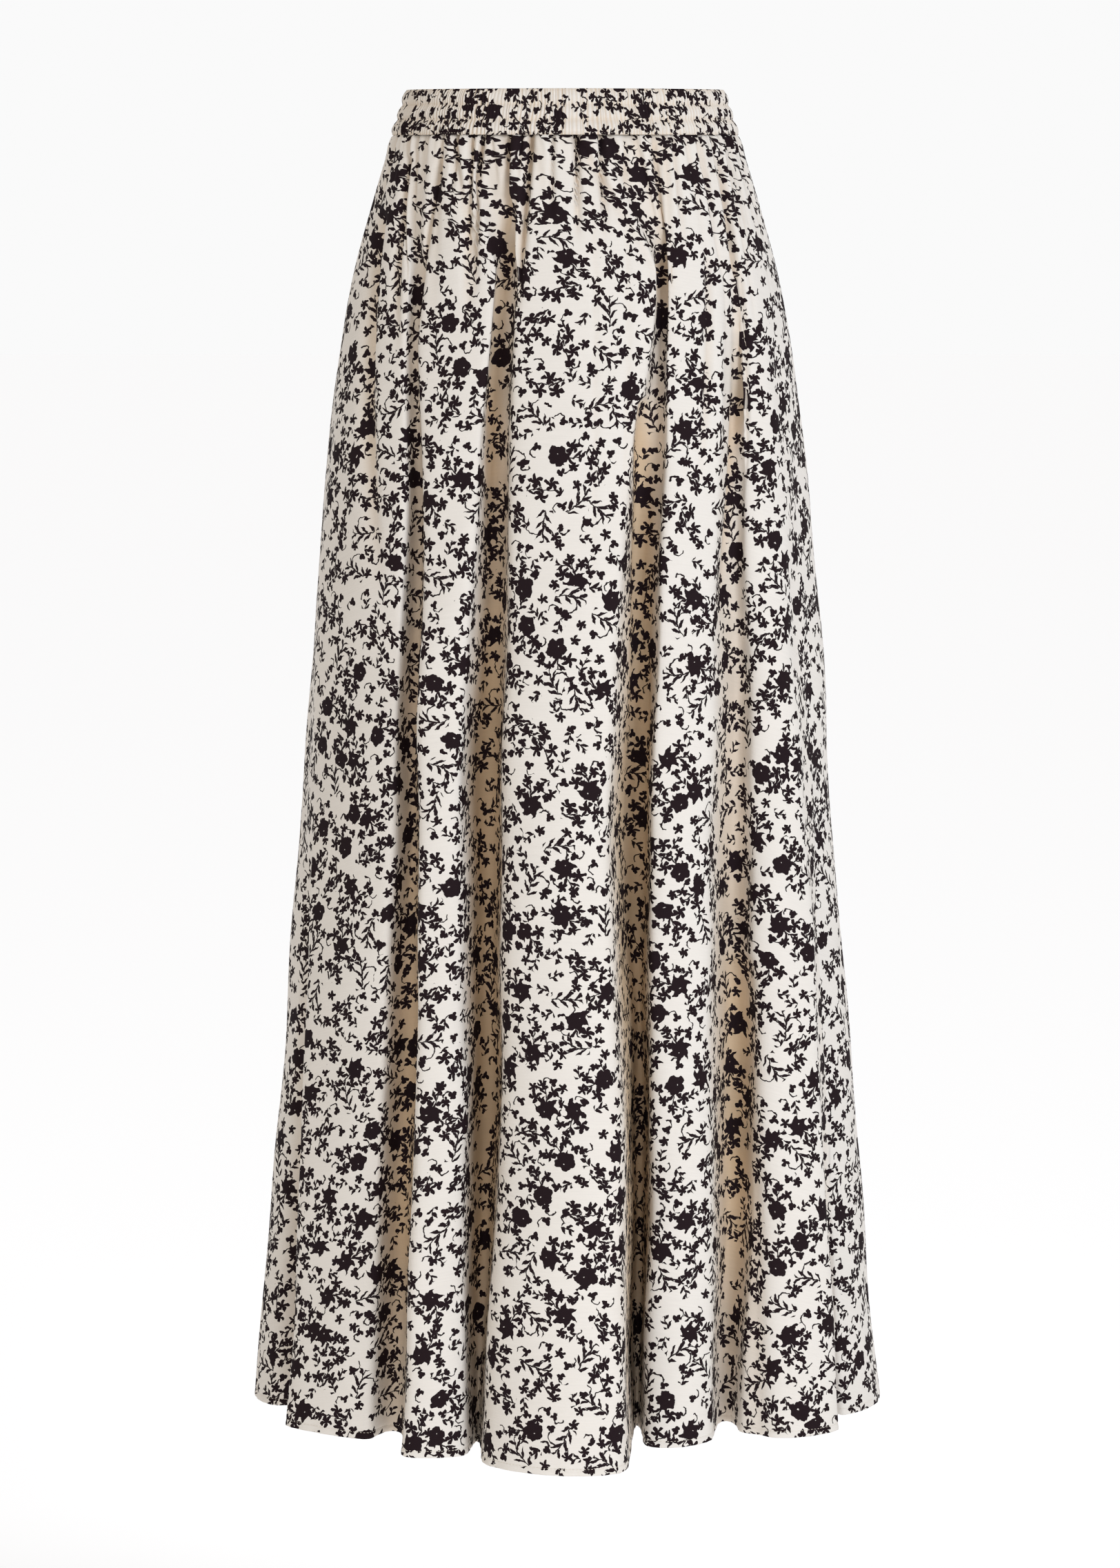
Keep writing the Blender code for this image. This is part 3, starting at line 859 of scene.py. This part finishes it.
def printed_cloth(name, ink_strength):
    """Printed cloth on the cut UV map. ink_strength is 1 on the right side of the cloth."""
    material, tree, shader = new_material(name, CLOTH_SURFACE)
    uv = tree.nodes.new("ShaderNodeUVMap")
    uv.uv_map = "cut"
    cloth = Thread(tree, uv.outputs["UV"]).vector("MULTIPLY", (1000, 1000, 0))
    ink = tossed_print(cloth.vector("MULTIPLY", (1 / PRINT_SCALE,) * 3))
    slub = cloth.vector("MULTIPLY", SLUB_STRETCH).noise(1.0, 2.0)
    grain = cloth.noise(0.8, 3.0)
    # The fold attribute is the painted-shade mask, from 0 on a crest to 1 deep in a fold.
    fold = cloth.node("ShaderNodeAttribute", {"attribute_name": "fold"}, output=2)
    # Painted shade: the cream darkens and warms by that mask, then the slubs tint it.
    pale = mixed(fold, CREAM, PAINTED_FOLD_SHADE).vector("MULTIPLY", mixed(slub, (1, 1, 1, 1), SLUB_TONE))
    printed = mixed(ink * ink_strength, pale, INK)
    relief = {"Height": slub * SLUB_SHARE + grain, **BUMP}
    bump = cloth.node("ShaderNodeBump", None, relief)
    tree.links.new(printed.socket, shader.inputs["Base Color"])
    tree.links.new(bump.socket, shader.inputs["Normal"])
    return material


cloth_right = printed_cloth("printed cloth", 1.0)
cloth_wrong = printed_cloth("printed cloth, wrong side", WRONG_SIDE_INK)
thread, _, _ = new_material("sewing thread", THREAD_SURFACE)
print(len(cloth_right.node_tree.nodes), "nodes in the printed cloth")

# %% [markdown]
# ## The two panels
#
# The printed cloth and the grids come together here: each panel is cut out as a fan,
# drawn up at its narrow edge and hung from there. Front and back are sewn at the sides,
# where both turn in by a millimetre. The back is cut from another part of the same
# length of cloth, so its motifs fall in other places.

# %% Make the panels
PANEL_MM = 0.6


def make_cloth(name, grid, lies_at, thick_mm, *materials):
    """A sheet of cloth from its grid, cut out of the print at lies_at, with its flat size."""
    points, cuts, folds = grid
    size = np.ptp(cuts.reshape(-1, 2), axis=0)
    size = [round(float(side), 3) for side in size]
    print(name, "lies flat in", size, "m,", round(flat_area(cuts), 3), "m2")
    return cloth_grid(name, points, cuts + np.array(lies_at), folds, thick_mm / 1000, materials)


front, back = panel_grid(LEFT_SEAM, -1), panel_grid(LEFT_SEAM + HALF_ROUND, 1)
sides = (cloth_right, cloth_wrong)
skirt_front = make_cloth("skirt_front_cloth", front, (0, 0), PANEL_MM, *sides)
skirt_back = make_cloth("skirt_back_cloth", back, (0.37, -2.0), PANEL_MM, *sides)

# %% [markdown]
# ## The gathered waistband
#
# The band is one strip of cloth folded over three elastics, with lines of stitches
# between them. The elastics draw it up into fine ribs, each of its own width, that waver
# a little on the way down. The grid is rolled round the band: from its lower edge
# inside, over the top, and down the outside in three puffs.

# %% The profile of the band
CHANNELS = 3
CHANNEL_PUFF_MM = 1.2
PUFF_FLATNESS = 0.75  # below one, a puff is flat in its middle
RIB_AT_STITCHES = 0.4  # of a rib's height where a line of stitches holds it down
BAND_INSIDE_MM = 1.9
INSIDE_ROWS, OUTSIDE_ROWS = 8, 31

BandRow = namedtuple("BandRow", "height out_mm rib soft")
OVER_THE_TOP = (
    BandRow(0.0149, -1.7, 0.5, 1),
    BandRow(0.0157, -1.2, 0.5, 1),
    BandRow(0.0160, -0.6, 0.6, 1),
    BandRow(0.0158, -0.05, 0.7, 1),
)
UNDER_THE_EDGE = (
    BandRow(-0.0156, 0.85, 0.3, 1),
    BandRow(-0.0160, 0.5, 0.3, 1),
    BandRow(-0.0160, 0.0, 0.3, 1),
)


def band_profile():
    """Rows round the band: up its inside, over the top, down its outside and under it."""
    rows = [BandRow(z, -BAND_INSIDE_MM, 0.5, 1) for z in np.linspace(-0.0148, 0.0138, INSIDE_ROWS)]
    rows += OVER_THE_TOP
    for share in np.linspace(0.03, 0.97, OUTSIDE_ROWS):
        puffed = abs(math.sin(math.pi * CHANNELS * share)) ** PUFF_FLATNESS
        held = RIB_AT_STITCHES + (1 - RIB_AT_STITCHES) * puffed
        height = BAND_LOW * (1 - 2 * share)
        rows.append(BandRow(height, CHANNEL_PUFF_MM * puffed, held, max(0, share * 3 - 2)))
    return [*rows, *UNDER_THE_EDGE]


def band_ring(height, angle, out):
    """Points round the band at one height, out in metres from the plain figure."""
    plan, ahead, behind = (figure(-height, angle + step)[0] for step in (0, 0.4, -0.4))
    plan = plan - square_to(ahead - behind) * out[:, None]
    return np.column_stack([plan, np.full(len(plan), height)])


print(len(band_profile()) - 1, "rows round the band")

# %% The ribs of the band
BAND_SEED = 7
BAND_RIBS = 138  # in each half
COLUMNS_PER_RIB = 4
RIB_MM = 1.35
RIB_WIDTHS, RIB_HEIGHTS = (0.5, 1.5), (0.4, 1.3)  # shares of the usual, least and most
SHARP_POWER, SOFT_SHARE = 0.95, 1.15  # sharp ribs outside, soft ones where soft is 1
WAVER, WAVERS_DOWN, WAVER_AT = 0.00055, 190, 0.6
PINNED = 0.006  # next to a side seam no rib wavers
GATHER_RATIO = 1.35  # flat cloth to gathered cloth
# Painted shade in the ditches between the ribs and along the lines of stitches.
DITCH_PAINTED_SHADE, STITCHES_PAINTED_SHADE = 0.5, 0.4


def rib_edges(first_angle, random):
    """Angles of the ribs' edges from one side to the other, by arc and each of its own width."""
    fine = first_angle + np.linspace(0, 180, 1200)
    along = arcs(band_ring(0.0, fine, np.zeros(len(fine))))
    widths = random.uniform(*RIB_WIDTHS, BAND_RIBS)
    edges = np.concatenate([[0], np.cumsum(widths)]) / widths.sum() * along[-1]
    return edges, fine, along


def band_grid(first_angle, backwards, seed):
    """Points of one half of the band by column and row, their places on its flat strip, and
    how shut in they are, which sets their painted shade."""
    random = np.random.default_rng(seed)
    edges, fine, along = rib_edges(first_angle, random)
    phase = np.arange(BAND_RIBS * COLUMNS_PER_RIB + 1) / COLUMNS_PER_RIB
    arc = np.interp(phase, np.arange(BAND_RIBS + 1), edges)
    heights = random.uniform(*RIB_HEIGHTS, BAND_RIBS + 1)
    tall = np.interp(phase, np.arange(BAND_RIBS + 1), heights)
    lean = np.sin(arc / 0.019) + 0.6 * np.sin(arc / 0.0071 + 1.0)
    pinned = np.clip(np.minimum(arc, along[-1] - arc) / PINNED, 0, 1)
    sharp = np.abs(np.sin(np.pi * phase)) ** SHARP_POWER
    soft = SOFT_SHARE * (0.5 - 0.5 * np.cos(2 * np.pi * phase))
    points, cuts, folds = [], [], []
    length, before = 0.0, None
    for k, row in enumerate(band_profile()):
        shift = WAVER * pinned * lean * math.sin(row.height * WAVERS_DOWN + WAVER_AT)
        angle = np.interp(arc + shift, along, fine)
        rib = RIB_MM * row.rib * tall * (row.soft * soft + (1 - row.soft) * sharp)
        side = -1 if k < INSIDE_ROWS else 1
        line = band_ring(row.height, angle, (row.out_mm + side * rib) / 1000)
        line[[0, -1], 1] += backwards * SEAM_GAP / 2
        if before is not None:
            length += float(np.median(np.linalg.norm(line - before, axis=1)))
        before = line
        # Painted shade, deeper in the ditches between ribs and where the stitches hold the band
        # down.
        painted_shade = DITCH_PAINTED_SHADE * tall * (1 - sharp) + STITCHES_PAINTED_SHADE * (1 - row.rib)
        cuts.append(np.column_stack([(arc + shift) * GATHER_RATIO, np.full(len(arc), -length)]))
        points.append(line)
        folds.append(np.clip(painted_shade, 0, 1))
    return np.stack(points, 1), np.stack(cuts, 1), np.stack(folds, 1)


# %% Make the two halves of the band
BAND_MM = 0.4

front, back = band_grid(-90, -1, BAND_SEED), band_grid(90, 1, BAND_SEED + 1)
band_front = make_cloth("waistband_front_cloth", front, (0, 0), BAND_MM, cloth_right)
band_back = make_cloth("waistband_back_cloth", back, (0.9, 0.4), BAND_MM, cloth_right)

# %% [markdown]
# ## The sewing
#
# Every stitch is a short rounded dash that lies along its line. The lines run between
# the elastics, close above the lower edge of the band, and round the hem just under
# the edge of the part turned up inside.

# %% Stitches
BAND_STITCH_MM = 2.2
HEM_STITCH_MM = 2.6
STITCH_SHARE = 0.7  # of the length from one stitch to the next
STITCH_RADIUS = 0.00018
STITCH_FACES = 20
STITCH_LINES = ((0.0053, 0.45), (-0.0053, 0.45), (-0.0147, 0.9))  # heights, mm out


def point_at(line, along, at):
    """The point of a line that lies this far along it."""
    return Vector([np.interp(at, along, line[:, axis]) for axis in range(3)])


def stitches(name, lines, pitch_mm):
    """Dashes of thread along lines of points."""
    sewn = bmesh.new()
    long = pitch_mm / 2000 * STITCH_SHARE
    for line in lines:
        along = arcs(line)
        count = int(along[-1] / pitch_mm * 1000) - 1
        for at in np.linspace(along[0], along[-1], count)[1:-1]:
            start, end = point_at(line, along, at - long), point_at(line, along, at + long)
            turn = (end - start).to_track_quat("X", "Z")
            size = Vector((long, STITCH_RADIUS, STITCH_RADIUS))
            place = Matrix.LocRotScale((start + end) / 2, turn, size)
            bmesh.ops.create_icosphere(sewn, subdivisions=1, radius=1, matrix=place)
    print(name, len(sewn.faces) // STITCH_FACES)
    return link_piece(name, sewn, (thread,))


def band_lines(first_angle):
    fine = first_angle + np.linspace(1, 179, 700)
    return [band_ring(height, fine, np.full(len(fine), out / 1000)) for height, out in STITCH_LINES]


def hem_line_of(first):
    return ring(HEM_STITCHES, np.linspace(first, first + HALF_ROUND, 1500)[12:-12])[0]


band_front_sewing = stitches("waistband_front_stitches", band_lines(-90), BAND_STITCH_MM)
band_back_sewing = stitches("waistband_back_stitches", band_lines(90), BAND_STITCH_MM)
front_hem, back_hem = hem_line_of(LEFT_SEAM), hem_line_of(LEFT_SEAM + HALF_ROUND)
front_sewing = stitches("skirt_front_hem_stitches", [front_hem], HEM_STITCH_MM)
back_sewing = stitches("skirt_back_hem_stitches", [back_hem], HEM_STITCH_MM)

# %% [markdown]
# ## Light and floor
#
# Soft light from the front right shows the flutes: each crest shades the valley to its
# left, where light only gets in off the warm cloth. A weak warm light fills in from the
# left. A small one comes up as if off the floor, in a narrow cone that keeps a bright
# line off the floor itself.
#
# The world is white behind the skirt and dim and warm everywhere else. The pale floor
# glows more the further back it lies, so that it runs into the white without an edge.

# %% The studio
ROOM_LIGHT = (0.52, 0.470, 0.400, 1)
BACKDROP_LIGHT = (0.955, 0.955, 0.955, 1)


def smooth_rise(way, start, end):
    """From 0 where way is at start to 1 where it is at end."""
    smooth = {"interpolation_type": "SMOOTHSTEP"}
    return way.node("ShaderNodeMapRange", smooth, {0: way, 1: start, 2: end})


bpy.context.scene.view_settings.view_transform = "Standard"
world = bpy.data.worlds.new("pale studio")
world.use_nodes = True
sky = world.node_tree
way = Thread(sky, sky.nodes.new("ShaderNodeTexCoord").outputs["Generated"]).part("Y")
glow = mixed(smooth_rise(way, -0.1, 0.75), ROOM_LIGHT, BACKDROP_LIGHT)
sky.links.new(glow.socket, sky.nodes["Background"].inputs["Color"])
sky.nodes["Background"].inputs["Strength"].default_value = 1
bpy.context.scene.world = world
print("the room is", ROOM_LIGHT[:3], "and white behind the skirt")

# %% The floor
FLOOR_HEIGHT = -1.5
FLOOR_HALF_WIDTH = 30
PAPER = {"Base Color": (0.9, 0.9, 0.9, 1), "Roughness": 0.9, "Specular IOR Level": 0}
GLOW = (0.84, 0.9, 1, 1)  # cool, against the warm light of the room
GLOW_STRENGTH, GLOWS_FULLY_AT = 0.44, 1.6

ground = bmesh.new()
bmesh.ops.create_grid(ground, x_segments=1, y_segments=1, size=FLOOR_HALF_WIDTH)
bmesh.ops.translate(ground, verts=ground.verts, vec=(0, 0, FLOOR_HEIGHT))
paper, tree, shader = new_material("pale floor", {**PAPER, "Emission Strength": GLOW_STRENGTH})
back = Thread(tree, tree.nodes.new("ShaderNodeTexCoord").outputs["Object"]).part("Y")
cool = mixed(smooth_rise(back, 0.0, GLOWS_FULLY_AT), (0, 0, 0, 1), GLOW)
tree.links.new(cool.socket, shader.inputs["Emission Color"])
floor = link_piece("floor", ground, (paper,))
print("floor at", FLOOR_HEIGHT, "m")

# %% The lights
Light = namedtuple("Light", "name place towards size watts colour spread")
COOL, WARM, SOFT_WARM = (0.87, 0.935, 1.0), (1.0, 0.9, 0.76), (1.0, 0.95, 0.88)
LIGHTS = (
    Light("key light", (1.9, -3.0, 0.7), (0, 0, -0.45), 1.2, 61, COOL, 180),
    Light("fill light", (-1.8, -3.4, 0.6), (0, 0, -0.5), 2.0, 15, WARM, 180),
    Light("light off the floor", (0.1, -0.75, -1.3), (0.05, -0.3, -0.5), 0.8, 0.55, SOFT_WARM, 100),
)
for light in LIGHTS:
    lamp = bpy.data.objects.new(light.name, bpy.data.lights.new(light.name, "AREA"))
    lamp.data.size = light.size
    lamp.data.spread = math.radians(light.spread)
    lamp.data.energy = light.watts
    lamp.data.color = light.colour
    lamp.location = light.place
    aim = Vector(light.towards) - Vector(light.place)
    lamp.rotation_euler = aim.to_track_quat("-Z", "Y").to_euler()
    bpy.context.scene.collection.objects.link(lamp)
    print(light.name, light.watts, "W")

# %% [markdown]
# ## What each piece stands for
#
# All of it moves as one body. Each sheet goes with its sewing, and the CAD solid that
# it stands for is hidden.

for piece, sewing, node, slot in (
    (skirt_front, front_sewing, "skirt_front", "printed_cloth"),
    (skirt_back, back_sewing, "skirt_back", "printed_cloth"),
    (band_front, band_front_sewing, "waistband_front", "cased_elastic"),
    (band_back, band_back_sewing, "waistband_back", "cased_elastic"),
):
    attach(piece, "root")
    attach(sewing, "root")
    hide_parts(node)

print("4 sheets, each with its sewing")
